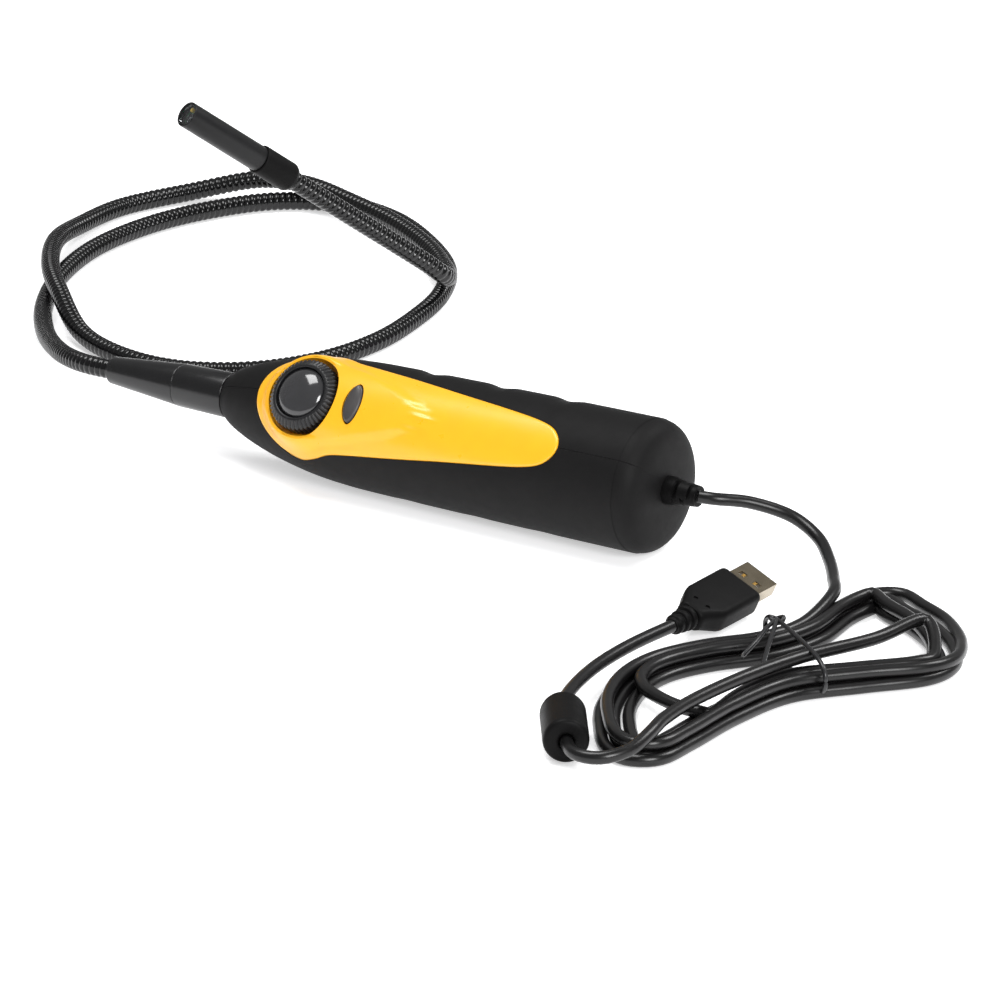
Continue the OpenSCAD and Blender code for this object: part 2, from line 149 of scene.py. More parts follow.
def surface(name, colour, roughness, mottle=0.12, mottle_size=9, rough_spread=0.06, grain=0.35,
            grain_depth=0.02, metallic=0.0, coat=0.0, specular=0.5, transmission=0.0, wave=None):
    """A moulded, painted or metal surface: colour mottling, uneven gloss and a fine grain.

    Sizes and depths are in millimetres. wave is (spacing, depth) of a faint slow ripple.
    """
    material = bpy.data.materials.new(name)
    material.use_nodes = True
    nodes, links = material.node_tree.nodes, material.node_tree.links
    shader = nodes["Principled BSDF"]
    shader.inputs["Metallic"].default_value = metallic
    shader.inputs["Coat Weight"].default_value = coat
    shader.inputs["Coat Roughness"].default_value = 0.08
    shader.inputs["Specular IOR Level"].default_value = specular
    shader.inputs["Transmission Weight"].default_value = transmission
    where = nodes.new("ShaderNodeTexCoord").outputs["Object"]

    def noise(size, detail=3.0):
        node = nodes.new("ShaderNodeTexNoise")
        node.inputs["Scale"].default_value = 1 / (size * MM)
        node.inputs["Detail"].default_value = detail
        links.new(where, node.inputs["Vector"])
        return node.outputs["Fac"]

    patches = noise(mottle_size)
    ramp = nodes.new("ShaderNodeValToRGB")
    ramp.color_ramp.elements[0].position = 0.3
    ramp.color_ramp.elements[1].position = 0.7
    ramp.color_ramp.elements[0].color = (*[c * (1 - mottle) for c in colour], 1)
    ramp.color_ramp.elements[1].color = (*[min(1, c * (1 + mottle)) for c in colour], 1)
    links.new(patches, ramp.inputs["Fac"])
    links.new(ramp.outputs["Color"], shader.inputs["Base Color"])

    gloss = nodes.new("ShaderNodeMapRange")
    gloss.inputs["To Min"].default_value = max(0.02, roughness - rough_spread)
    gloss.inputs["To Max"].default_value = min(1, roughness + rough_spread)
    links.new(noise(mottle_size * 0.4), gloss.inputs["Value"])
    links.new(gloss.outputs["Result"], shader.inputs["Roughness"])

    bump = nodes.new("ShaderNodeBump")
    bump.inputs["Strength"].default_value = 1.0
    bump.inputs["Distance"].default_value = grain_depth * MM
    links.new(noise(grain, 4.0), bump.inputs["Height"])
    if wave:
        ripple = nodes.new("ShaderNodeBump")
        ripple.inputs["Strength"].default_value = 1.0
        ripple.inputs["Distance"].default_value = wave[1] * MM
        links.new(noise(wave[0], 1.0), ripple.inputs["Height"])
        links.new(ripple.outputs["Normal"], bump.inputs["Normal"])
    links.new(bump.outputs["Normal"], shader.inputs["Normal"])
    return material


LOOKS = {
    "soft_touch": surface("soft_touch", (0.006, 0.0058, 0.006), 0.6, grain=0.28,
                          grain_depth=0.03, specular=0.14, wave=(14, 0.06)),
    "yellow": surface("yellow", (0.95, 0.46, 0.012), 0.3, mottle=0.03, grain=0.5, grain_depth=0.006,
                      coat=0.1),
    "gloss_black": surface("gloss_black", (0.006, 0.006, 0.0065), 0.24, grain=0.5,
                           grain_depth=0.006, rough_spread=0.05),
    "barrel_black": surface("barrel_black", (0.005, 0.005, 0.0055), 0.4, grain=0.4,
                            grain_depth=0.01, specular=0.3),
    "knob_black": surface("knob_black", (0.01, 0.01, 0.011), 0.34, grain=0.3, grain_depth=0.01,
                          specular=0.4),
    "smoked_cap": surface("smoked_cap", (0.028, 0.028, 0.03), 0.12, grain=0.6, grain_depth=0.004,
                          coat=0.6, rough_spread=0.03),
    "button": surface("button", (0.05, 0.047, 0.047), 0.38, grain=0.18, grain_depth=0.03),
    "neck": surface("neck", (0.003, 0.003, 0.0033), 0.16, grain=0.4, grain_depth=0.01,
                    specular=0.4, rough_spread=0.06),
    "rubber": surface("rubber", (0.0035, 0.0034, 0.0035), 0.5, grain=0.22, grain_depth=0.02,
                      specular=0.1),
    "cable": surface("cable", (0.005, 0.0048, 0.005), 0.3, grain=0.5, grain_depth=0.012,
                     specular=0.4, wave=(6, 0.05)),
    "tie": surface("tie", (0.01, 0.01, 0.011), 0.32, grain=0.3, grain_depth=0.015),
    "steel": surface("steel", (0.62, 0.61, 0.6), 0.28, metallic=1.0, mottle=0.05, grain=0.25,
                     grain_depth=0.006),
    "plug_metal": surface("plug_metal", (0.33, 0.28, 0.2), 0.22, metallic=1.0, mottle=0.08,
                          grain=0.3, grain_depth=0.006),
    "gold": surface("gold", (0.9, 0.62, 0.22), 0.25, metallic=1.0, grain=0.2, grain_depth=0.004),
    "ferrite": surface("ferrite", (0.045, 0.043, 0.042), 0.55, grain=0.3, grain_depth=0.02),
    "chip": surface("chip", (0.02, 0.02, 0.022), 0.45, grain=0.15, grain_depth=0.01),
    "board": surface("board", (0.012, 0.11, 0.045), 0.35, mottle=0.35, mottle_size=1.5, grain=0.6,
                     grain_depth=0.03),
    "ivory": surface("ivory", (0.8, 0.76, 0.64), 0.45, mottle=0.04),
    "tongue": surface("tongue", (0.82, 0.82, 0.8), 0.4, mottle=0.04),
    "wire": surface("wire", (0.12, 0.12, 0.13), 0.4),
    "glass": surface("glass", (0.9, 0.93, 0.95), 0.06, mottle=0.02, grain=1.0, grain_depth=0.001,
                     transmission=1.0, rough_spread=0.02),
    "led": surface("led", (0.95, 0.62, 0.08), 0.3, mottle=0.1, mottle_size=0.4),
}


# ---- mesh helpers ----

def loft(rings, cyclic=False, closed=True, caps=True):
    """A mesh through rings of points that all have the same count."""
    made = bmesh.new()
    verts = [[made.verts.new(p) for p in ring] for ring in rings]
    count = len(rings[0])
    around = count if closed else count - 1
    steps = len(rings) if cyclic else len(rings) - 1
    for i in range(steps):
        a, b = verts[i], verts[(i + 1) % len(rings)]
        for k in range(around):
            made.faces.new((a[k], a[(k + 1) % count], b[(k + 1) % count], b[k]))
    if caps and not cyclic:
        made.faces.new(list(reversed(verts[0])))
        made.faces.new(verts[-1])
    return made


def revolve(profile, sides=96, closed=False, shape=None):
    """Turns (radius, height) pairs about Z. shape(radius, height, angle) may change a radius."""
    rings = []
    for k in range(sides):
        angle = 2 * math.pi * k / sides
        ring = []
        for radius, height in profile:
            r = shape(radius, height, angle) if shape else radius
            ring.append(Vector((r * math.cos(angle), r * math.sin(angle), height)))
        rings.append(ring)
    made = loft(rings, cyclic=True, closed=closed)
    bmesh.ops.remove_doubles(made, verts=made.verts, dist=1e-5)
    return made


def rounded(points, radius, closed=False, steps=4):
    """The outline with every corner rounded off by at most that radius."""
    points = [Vector(p) for p in points]
    last = len(points) - 1
    outline = []
    for i, corner in enumerate(points):
        if not closed and i in (0, last):
            outline.append(corner)
            continue
        before, after = points[i - 1] - corner, points[(i + 1) % len(points)] - corner
        a = corner + before.normalized() * min(radius, 0.45 * before.length)
        b = corner + after.normalized() * min(radius, 0.45 * after.length)
        for step in range(steps + 1):
            t = step / steps
            outline.append((1 - t) ** 2 * a + 2 * t * (1 - t) * corner + t * t * b)
    return outline


def frames(path):
    """Direction and two side vectors at each point, turning as little as possible."""
    last = len(path) - 1
    ways = [(path[min(i + 1, last)] - path[max(i - 1, 0)]).normalized() for i in range(last + 1)]
    side = ways[0].cross(Vector((0, 0, 1))).normalized()
    found = []
    for way in ways:
        side = (side - side.dot(way) * way).normalized()
        found.append((way, side, way.cross(side)))
    return found


def sweep(path, radius, sides=12):
    """A round tube along a path; radius(i, angle) gives it at each point."""
    rings = []
    for i, (centre, (way, side, up)) in enumerate(zip(path, frames(path))):
        rings.append([
            centre + radius(i, 2 * math.pi * k / sides) * (
                math.cos(2 * math.pi * k / sides) * side + math.sin(2 * math.pi * k / sides) * up)
            for k in range(sides)])
    return loft(rings)


def add_piece(name, made, matrix, look, smooth=35):
    """Puts a mesh into the scene with its place in its vertices, like the CAD nodes."""
    bmesh.ops.recalc_face_normals(made, faces=made.faces)
    mesh = bpy.data.meshes.new(name)
    made.to_mesh(mesh)
    made.free()
    mesh.transform(matrix)
    mesh.materials.append(LOOKS[look])
    for polygon in mesh.polygons:
        polygon.use_smooth = True
    mesh.set_sharp_from_angle(angle=math.radians(smooth))
    piece = bpy.data.objects.new(name, mesh)
    bpy.context.scene.collection.objects.link(piece)
    return piece


def turned(name, outline, corner, matrix, look):
    """A piece turned from a closed outline of (radius, height) with its corners rounded."""
    profile = [p[:2] for p in rounded(outline, corner, closed=True)]
    return add_piece(name, revolve(profile, closed=True), matrix, look)


def settle(piece, body, slot, *nodes):
    """Rides a finished piece on its body and hides the CAD nodes it stands for. The slot argument
    is not used.
    """
    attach(piece, body)
    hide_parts(*nodes)
    return piece


def apply_modifiers(piece):
    """Replaces a piece's mesh with the result of its modifiers."""
    bpy.context.view_layer.update()
    result = bpy.data.meshes.new_from_object(
        piece.evaluated_get(bpy.context.evaluated_depsgraph_get()))
    piece.modifiers.clear()
    piece.data = result


def cut(piece, *cutters, smooth=35):
    """Cuts the cutters out of a piece and removes them."""
    for cutter in cutters:
        modifier = piece.modifiers.new("cut", "BOOLEAN")
        modifier.operation = "DIFFERENCE"
        modifier.solver = "EXACT"
        modifier.object = cutter
    apply_modifiers(piece)
    for cutter in cutters:
        bpy.data.objects.remove(cutter)
    piece.data.set_sharp_from_angle(angle=math.radians(smooth))


def leaf(length, width, steps=48):
    """Outline of a pointed oval, long across Y, as (x, y) pairs."""
    outline = []
    for step in range(steps):
        angle = 2 * math.pi * step / steps
        across = math.copysign(abs(math.cos(angle)) ** 1.2, math.cos(angle))
        outline.append((across * width / 2, math.sin(angle) * length / 2))
    return outline


def round_box_ring(width, height, corner, level, steps=6):
    """A rounded rectangle in the XZ plane at y = level."""
    ring = []
    for cx, cz, start in ((1, 1, 0), (-1, 1, 90), (-1, -1, 180), (1, -1, 270)):
        for step in range(steps + 1):
            angle = math.radians(start + 90 * step / steps)
            ring.append(Vector((cx * (width / 2 - corner) + corner * math.cos(angle), level,
                                cz * (height / 2 - corner) + corner * math.sin(angle))))
    return ring


# ---- USB cable: free stretch, hank and tail in one cord ----

CABLE_DIAMETER = 4.1
# distance between the points of the cord's curve, in metres
CABLE_SPACING = 0.0022
CABLE_ROUTE = [
    (18.2, 0, 22.2), (23, 1.5, 22), (31, 9.5, 20), (42, 15.5, 16), (53.5, 13, 12), (64, 3, 9.6),
    (73, -9, 9), (80, -21, 9)
]
TAIL_ROUTE = [
    (97, -142, 11.5), (98.5, -152, 10.6), (98, -162, 8.4), (93, -169.8, 7.2), (84.8, -171, 7),
    (77.3, -164.8, 7), (70, -154.9, 7), (62.8, -145, 7), (57.5, -136, 7), (53, -122, 7),
    (50.5, -106, 7.3), (50.4, -88, 7.7), (52, -69, 7.8)
]
# the outermost turn: from the wide end down one side, round the narrow end and back up
HANK_LOOP = [
    (99, 2), (88, 7), (80, 0), (78, -18), (80, -40), (76, -57), (65, -73), (58, -90), (58, -108),
    (64, -126), (73.5, -141), (83, -152), (93, -156), (101, -150), (102, -134), (102, -110),
    (106, -86), (120, -67), (133, -51), (135, -36), (127, -20), (113, -6)
]
# places in that list: where the cable comes in, the narrow end, and the last point before the
# cable begins to move over to its next lane
COMES_IN = 4
NARROW_END = 12
LAST_IN_LANE = 17
# how many points each way the pull at an end reaches
PULL_REACH = 5
HANK_WAY = Vector((0.15, 0.99, 0))
# each turn: lanes in from the outermost, layers up from the table, and how much shorter it is
# than the outermost one at the wide end and at the narrow end
HANK_TURNS = [(0.4, 1, 3, 2), (0, 0, 0, 0), (1, 0, 3, 0), (2, 0, 6, 1), (1.4, 1, 9, 30)]
HANK_EXIT = [
    (117, -27, 10.6), (113, -50, 10.8), (103, -76, 11), (98, -100, 11.2), (96, -124, 11.4)
]
LANE = 4.3
LAYER = 3.9
LOWEST = 2.2


def hank_point(i, lane, layer):
    """A point of a turn that lies some lanes inside the outermost one."""
    here = Vector((*HANK_LOOP[i], 0))
    before = Vector((*HANK_LOOP[i - 1], 0))
    after = Vector((*HANK_LOOP[(i + 1) % len(HANK_LOOP)], 0))
    way = (after - before).normalized()
    inward = Vector((-way.y, way.x, 0))
    return here + inward * LANE * lane + Vector((0, 0, LOWEST + LAYER * layer))


def hank_route():
    """The turns of the hank: in on one side, round and round, out over the other side."""
    count = len(HANK_LOOP)
    last = len(HANK_TURNS) - 1
    route = []
    for k, turn in enumerate(HANK_TURNS):
        following = HANK_TURNS[min(k + 1, last)]
        start = COMES_IN if k == 0 else 0
        end = count - 2 if k == last else count
        for i in range(start, end):
            share = ease((i - LAST_IN_LANE) / (count - LAST_IN_LANE))
            lane, layer, wide_pull, narrow_pull = (
                a + (b - a) * share for a, b in zip(turn, following))
            wide_share = ease(1 - min(i, count - i) / PULL_REACH)
            narrow_share = ease(1 - abs(i - NARROW_END) / PULL_REACH)
            pull = narrow_pull * narrow_share - wide_pull * wide_share
            route.append(hank_point(i, lane, layer) + HANK_WAY * pull)
    return route + HANK_EXIT


def add_cable():
    """The whole USB cable as one curve, from the strain relief to the plug."""
    route = CABLE_ROUTE + hank_route() + TAIL_ROUTE
    path = evenly([place(p) for p in smooth_path(route, 12)], CABLE_SPACING)
    curve = bpy.data.curves.new("usb_cord", "CURVE")
    curve.dimensions = "3D"
    curve.bevel_depth = CABLE_DIAMETER / 2 * MM
    curve.bevel_resolution = 5
    curve.use_fill_caps = True
    spline = curve.splines.new("POLY")
    spline.points.add(len(path) - 1)
    for point, centre in zip(spline.points, path):
        point.co = (*centre, 1)
    spline.use_smooth = True
    curve.materials.append(LOOKS["cable"])
    cord = bpy.data.objects.new("usb_cord", curve)
    bpy.context.scene.collection.objects.link(cord)
    return settle(cord, "handle", "cable_black", "usb_cable", "usb_cable_hank", "usb_cable_tail")


usb_cord = add_cable()


# ---- handle ----

HANDLE_OUTLINE = [
    (-163.2, 7.2), (-160.5, 9.2), (-157, 11), (-151, 13.3), (-144, 15.4), (-137, 17.1),
    (-129, 18.6), (-122, 19.6), (-114, 20.3), (-103, 20.8), (-76, 21.2), (-38, 21.6),
    (-5, 21.8), (-1.6, 21.7), (1, 21.2), (3, 20), (4.5, 18), (5.5, 14.5), (6, 9.5), (6.1, 3.6)
]
HANDLE_CURVE = smooth_path([(x, r, 0) for x, r in HANDLE_OUTLINE], 16)
GROOVES = (-88, -61.5, -36)
GROOVE_DEPTH = 1.2
# how far round from the belly the grooves are deepest, and how fast they fade from there
GROOVE_TURN = math.radians(40)
GROOVE_FADE = 0.62
GROOVE_REACH = 6.4
GROOVE_SOFTNESS = 1.6
SHELL_WALL = 3.2
SHELL_STEP = 0.8
SEAM_DEPTH = 0.22
SEAM_TURN = 0.012


def handle_radius(x):
    """Radius of the handle at a distance along its axis."""
    for a, b in zip(HANDLE_CURVE, HANDLE_CURVE[1:]):
        if a.x <= x <= b.x:
            return a.y + (b.y - a.y) * (x - a.x) / max(b.x - a.x, 1e-9)
    return HANDLE_CURVE[0].y if x < HANDLE_CURVE[0].x else HANDLE_CURVE[-1].y


def groove(x, angle):
    """Depth of the finger grooves; angle is 0 at the belly."""
    depth = GROOVE_DEPTH * (1 - GROOVE_FADE * (1 - math.cos(angle - GROOVE_TURN)))
    near = min(abs(x - g) for g in GROOVES)
    if depth <= 0 or near >= GROOVE_REACH:
        return 0
    return depth * math.cos(math.pi / 2 * near / GROOVE_REACH) ** GROOVE_SOFTNESS


def shell_half(name, start):
    """One moulded half of the handle, from the belly seam round to the panel seam."""
    outer = [(x, handle_radius(x)) for x in (NOSE_X + SHELL_STEP * i for i in range(198))]
    outer += [(p.x, p.y) for p in HANDLE_CURVE if p.x > -5]
    inner = [(x, handle_radius(x) - SHELL_WALL) for x in range(-4, -156, -4)]
    profile = outer + [(2.9, 3.6), (2.9, 7)] + inner + [(-155.2, 5), (NOSE_X + 0.4, 5)]
    steps = 96
    angles = [0, SEAM_TURN] + [math.pi * k / steps for k in range(1, steps)] + [
        math.pi - SEAM_TURN, math.pi]
    rings = []
    for angle in angles:
        seam = SEAM_DEPTH if angle in (0, math.pi) else 0
        turn = angle + start
        ring = []
        for i, (x, r) in enumerate(profile):
            if i < len(outer):
                r -= groove(x, turn) + seam
            ring.append(Vector((r * math.cos(turn), r * math.sin(turn), x)))
        rings.append(ring)
    return add_piece(name, loft(rings), LATHE, "soft_touch", smooth=28)


# ---- control panel ----

PANEL_OUTLINE = [
    (-143.5, 0), (-142, 6.5), (-138, 11.8), (-132, 15.6), (-124.5, 17.7), (-118, 17.4),
    (-111.5, 16), (-105, 15.3), (-86, 13.6), (-66, 11.5), (-46, 9.5), (-35, 8), (-29, 6.2),
    (-25.6, 3.2), (-24.5, 0)
]
PLATFORM_OUTLINE = [
    (-139.5, 0), (-137.5, 7), (-132, 12.6), (-124, 15.2), (-115, 14.8), (-104, 13), (-92, 9.7),
    (-82, 6), (-77, 3), (-75, 0)
]
PANEL_ABOVE = 0.45
PANEL_BELOW = 1.8
PANEL_EDGE = 0.7
PLATFORM_RISE = 1.1
PLATFORM_SLOPE = 1.8
WELL_RADIUS = 13.5
COLLAR_TOP = KNOB_FLOOR + 2.6
COLLAR_WIDTH = 0.6
COLLAR_SLOPE = 3.2


def mirrored(outline, steps=6):
    """Closed smooth plan loop from one side's outline."""
    side = [(x, y, 0) for x, y in outline]
    other = [(x, -y, 0) for x, y in reversed(outline[1:-1])]
    loop = side + other
    wrapped = smooth_path(loop[-2:] + loop + loop[:2], steps)
    return wrapped[2 * steps:-(steps + 1)]


def half_width(outline, x):
    """Half width of a plan outline at a distance along the handle."""
    for (x0, y0), (x1, y1) in zip(outline, outline[1:]):
        if x0 <= x <= x1:
            return y0 + (y1 - y0) * (x - x0) / (x1 - x0)
    return 0


def panel_height(x, y, inset):
    """Height of the panel's skin over the handle's axis plane."""
    inside = half_width(PLATFORM_OUTLINE, x) - abs(y)
    rise = PANEL_ABOVE + PLATFORM_RISE * ease(inside / PLATFORM_SLOPE)
    base = math.sqrt(max((handle_radius(x) + rise) ** 2 - y * y, 0.01))
    away = math.hypot(x - KNOB_X, y)
    collar = COLLAR_TOP - base
    if collar > 0:
        base += collar * (1 - ease((away - WELL_RADIUS - COLLAR_WIDTH) / COLLAR_SLOPE))
    if inset < PANEL_EDGE:
        base -= PANEL_EDGE - math.sqrt(PANEL_EDGE ** 2 - (PANEL_EDGE - inset) ** 2)
    return base


def plan_rings(outline, insets, centre_from=-128, centre_to=-45):
    """Plan loops from the outline in to the middle line; an inset is a share of the way in.

    Each point comes with its distance from the outline.
    """
    edge = mirrored(outline)
    loops = []
    for inset in insets:
        loop = []
        for p in edge:
            middle = Vector((min(max(p.x, centre_from), centre_to), 0, 0))
            loop.append((p.lerp(middle, inset), inset * (middle - p).length))
        loops.append(loop)
    return loops


def panel_skin():
    """The yellow panel: a skin that follows the handle, raised under the thumb."""
    insets = [0, 0.006, 0.014, 0.026, 0.045] + [0.07 + 0.93 * (k / 34) for k in range(35)]
    top = plan_rings(PANEL_OUTLINE, insets)
    rings = []
    for loop in reversed(top):
        rings.append([Vector((p.x, p.y, math.sqrt(max(
            (handle_radius(p.x) - PANEL_BELOW) ** 2 - p.y ** 2, 0.01)))) for p, _ in loop])
    for loop in top:
        rings.append([Vector((p.x, p.y, panel_height(p.x, p.y, inset))) for p, inset in loop])
    made = loft(rings, caps=False)
    bmesh.ops.remove_doubles(made, verts=made.verts, dist=1e-4)
    return made


def plan_cutter(outline, grow, low_offset):
    """A tall solid over a plan outline, with its floor a little under the handle's surface."""
    loops = plan_rings(outline, [k / 16 for k in range(17)])
    middle_x = -85

    def grown(p):
        way = Vector((p.x - middle_x, 4 * p.y, 0)).normalized()
        return p + grow * way

    rings = []
    for loop in reversed(loops):
        ring = []
        for p, _ in loop:
            q = grown(p)
            ring.append(Vector((q.x, q.y, math.sqrt(max(
                (handle_radius(q.x) + low_offset) ** 2 - q.y ** 2, 0.01)))))
        rings.append(ring)
    for loop in loops:
        rings.append([Vector((grown(p).x, grown(p).y, 40)) for p, _ in loop])
    made = loft(rings, caps=False)
    bmesh.ops.remove_doubles(made, verts=made.verts, dist=1e-4)
    return made


def add_handle():
    """Both shells, the yellow panel let into them and the cup round the knob."""
    left = shell_half("shell_left", 0)
    right = shell_half("shell_right", math.pi)
    for shell, node in ((left, "left_shell"), (right, "right_shell")):
        seat = add_piece("seat", plan_cutter(PANEL_OUTLINE, 0.2, -1.9), HANDLE, "soft_touch")
        well = add_piece("well", revolve([(0, 13.5), (14.8, 13.5), (14.8, 40), (0, 40)]), KNOB,
                         "soft_touch")
        cut(shell, seat, well, smooth=28)
        settle(shell, "handle", "soft_touch_black", node)
    panel = add_piece("panel", panel_skin(), HANDLE, "yellow", smooth=50)
    well = add_piece("well", revolve([(0, KNOB_FLOOR - 0.4), (WELL_RADIUS, KNOB_FLOOR - 0.4),
                                      (WELL_RADIUS, 40), (0, 40)], 128), KNOB, "yellow")
    slot = add_piece("slot", loft([[Vector((x, y, z)) for x, y in leaf(14, 6.7)]
                                   for z in (9, 40)]),
                     HANDLE @ Matrix.Translation((BUTTON_X, 0, 0)), "yellow")
    cut(panel, well, slot, smooth=50)
    settle(panel, "handle", "yellow_plastic", "control_panel")
    cup = [(4.4, 13.9), (14.6, 13.9), (14.6, COLLAR_TOP), (WELL_RADIUS, COLLAR_TOP),
           (WELL_RADIUS, 15), (4.4, 15)]
    settle(turned("knob_well", cup, 0.3, KNOB, "yellow"), "handle", "yellow_plastic",
           "control_panel")


add_handle()


# ---- knob and button ----

KNOB_RIBS = 48


def add_knob():
    """The ribbed ring and the smoked dome in its middle."""
    def ribbed(radius, height, angle):
        if radius < 9.9:
            return radius
        phase = (angle * KNOB_RIBS / (2 * math.pi)) % 1
        valley = 0.5 - 0.5 * math.cos(2 * math.pi * phase)
        return radius - 0.55 * (1 - valley ** 0.6)

    profile = rounded([(3.05, 0), (12.1, 0), (12.2, 4.6), (10, 6.8), (8.75, 6.9), (8.65, 5.4),
                       (3.05, 5.3)], 0.5, closed=True)
    ring = add_piece("knob_ring", revolve([p[:2] for p in profile], 480, True, ribbed),
                     KNOB @ Matrix.Translation((0, 0, KNOB_FLOOR)), "knob_black", smooth=40)
    settle(ring, "knob", "gloss_black", "brightness_knob")
    dome = [(8.45 * math.sin(math.radians(a)), 5.4 + 3.3 * math.cos(math.radians(a)))
            for a in range(0, 91, 5)]
    cap = add_piece("knob_dome", revolve(dome + [(8.45, 5.2), (0, 5.2)], 96),
                    KNOB @ Matrix.Translation((0, 0, KNOB_FLOOR)), "smoked_cap")
    settle(cap, "knob", "smoked_cap", "knob_cap")


def add_button():
    """The snapshot button, with a rounded top and a flange under the panel."""
    levels = [(0, 15), (0, 21.8), (0.12, 22.3), (0.4, 22.6), (0.9, 22.8), (1.5, 22.9),
              (2.1, 22.98), (2.6, 23)]
    rings = [[Vector((x, y, level)) for x, y in leaf(15, 8)] for level in (14.2, 15)]
    for inset, level in levels:
        rings.append([Vector((x, y, level)) for x, y in leaf(13 - 3 * inset, 5.8 - 2 * inset)])
    piece = add_piece("button_cap", loft(rings), HANDLE @ Matrix.Translation((BUTTON_X, 0, 0)),
                      "button", smooth=40)
    settle(piece, "button", "button_grey", "snapshot_button")


add_knob()
add_button()


# ---- ferrule and gooseneck ----

NECK_ROUTE = [
    (-180, 0, 20.1), (-194, 0, 20), (-211, 0, 19.8), (-227, 3, 18.6), (-246, 16, 15.2),
    (-274, 45, 8.2), (-299, 77, 4), (-315, 107, 3.4), (-324, 139, 3.4), (-324, 169, 3.4),
    (-317, 195, 3.4), (-303, 218, 3.4), (-281, 229, 3.4), (-256, 225, 3.4), (-231, 210, 3.4),
    (-208, 189, 3.4), (-194, 164, 3.4), (-187, 138, 3.4), (-184, 112, 3.4), (-188, 86, 3.4),
    (-201, 64, 3.4), (-222, 51, 3.4), (-246, 51, 3.4), (-270, 60, 4.6), (-292, 77, 10),
    (-312, 98, 10.6), (-330, 125, 9), (-341, 154, 5), (-344, 183, 3.4), (-333, 209, 4),
    (-313, 223, 8.5), (-291, 222, 10.6), (-266, 214, 10.6), (-240, 203, 10.6),
    (-216, 188, 10.6), (-199, 173, 10.8), (-188, 160, 12.6), (-184, 151, 16.6), (-186, 144.5, 22)
]
NECK_RADIUS = 3.3
RIDGE_PITCH = 2.3
RIDGE_DEPTH = 0.75
RINGS_PER_RIDGE = 8


def add_ferrule():
    """The two tapered sleeves between the nose and the gooseneck."""
    collar = [(3.4, -183.25), (7.1, -183.25), (7.5, -163.25), (4.95, -163.25), (4.95, -155.2),
              (2, -155.2), (2, -180), (3.4, -180)]
    sleeve = [(3.4, -211.5), (4.5, -211.5), (5.4, -201.3), (7, -183.3), (3.4, -183.3)]
    settle(turned("ferrule_front", collar, 0.45, LATHE, "gloss_black"), "handle", "gloss_black",
           "ferrule_collar")
    settle(turned("ferrule_tail", sleeve, 0.45, LATHE, "gloss_black"), "handle", "gloss_black",
           "ferrule_sleeve")


def neck_piece(name, path, ways, lengths, first, last):
    """The ridged skin between two distances along the gooseneck."""
    chosen = [i for i, s in enumerate(lengths) if first - 1e-6 <= s <= last + 1e-6]
    sides = 18
    rings = []
    for i in chosen:
        _, side, up = ways[i]
        ring = []
        for k in range(sides):
            angle = 2 * math.pi * k / sides
            phase = (lengths[i] / RIDGE_PITCH + k / sides) % 1
            from_valley = 2 * min(phase, 1 - phase)
            crest = math.sqrt(1 - (1 - from_valley) ** 2)
            radius = NECK_RADIUS - RIDGE_DEPTH * (1 - crest)
            ring.append(path[i] + radius * (math.cos(angle) * side + math.sin(angle) * up))
        rings.append(ring)
    return add_piece(name, loft(rings), TO_METRES @ Matrix.Translation(SHIFT), "neck", smooth=60)


def add_gooseneck():
    """The ridged skin in four lengths: the coil, a bend at each hinge, and the arm."""
    reach = RISER_LENGTH + ARM_LENGTH + 6
    coil = smooth_path(NECK_ROUTE, 24)
    straight = [RISER_START + ARM_WAY * d for d in range(1, reach + 1)]
    path = evenly(coil + straight, RIDGE_PITCH / RINGS_PER_RIDGE)
    lengths = arc_lengths(path)
    ways = frames(path)
    joint = lengths[-1] - reach
    cuts = [0, joint - 14, joint + 16, joint + 48, lengths[-1]]
    cuts = [min(lengths, key=lambda s: abs(s - c)) for c in cuts]
    coil_skin, lift_skin, swing_skin, arm_skin = (
        neck_piece(name, path, ways, lengths, first, last)
        for name, first, last in zip(("neck_coil", "neck_lift_bend", "neck_swing_bend",
                                      "neck_arm"), cuts, cuts[1:]))
    settle(coil_skin, "handle", "neck_black", "gooseneck_coil")
    settle(arm_skin, "camera_arm", "neck_black", "gooseneck_arm")
    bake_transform(lift_skin)
    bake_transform(swing_skin)
    for skin, node in ((lift_skin, "gooseneck_riser"), (swing_skin, "gooseneck_arm")):
        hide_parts(node)


add_ferrule()
add_gooseneck()


# ---- camera head ----

# frame at the boot's rear end, with +Z along the camera arm
HEAD = TO_METRES @ Matrix.Translation(
    SHIFT + RISER_START + ARM_WAY * (RISER_LENGTH + ARM_LENGTH)) @ Matrix.Rotation(
    math.atan2(ARM_WAY.y, ARM_WAY.x), 4, "Z") @ Matrix.Rotation(math.acos(ARM_WAY.z), 4, "Y")


def add_head():
    """The rubber boot and the camera barrel in front of it."""
    boot = [(3.35, 0), (4.2, 0), (5.1, 1.6), (5.1, 15.5), (4.05, 15.5), (4.05, 9), (1.1, 9),
            (1.1, 6.5), (3.35, 6.5)]
    barrel = [(4, 9), (4, 15.4), (4.5, 15.6), (4.5, 49.5), (3.95, 49.5), (3.95, 47.9),
              (3.7, 47.9), (3.7, 17), (1.1, 17), (1.1, 9)]
    settle(turned("boot_skin", boot, 0.5, HEAD, "rubber"), "camera_arm", "boot_black",
           "head_boot")
    settle(turned("barrel_skin", barrel, 0.25, HEAD, "barrel_black"), "camera_arm",
           "gloss_black", "head_barrel")


add_head()


# ---- plug, ferrite and tie ----

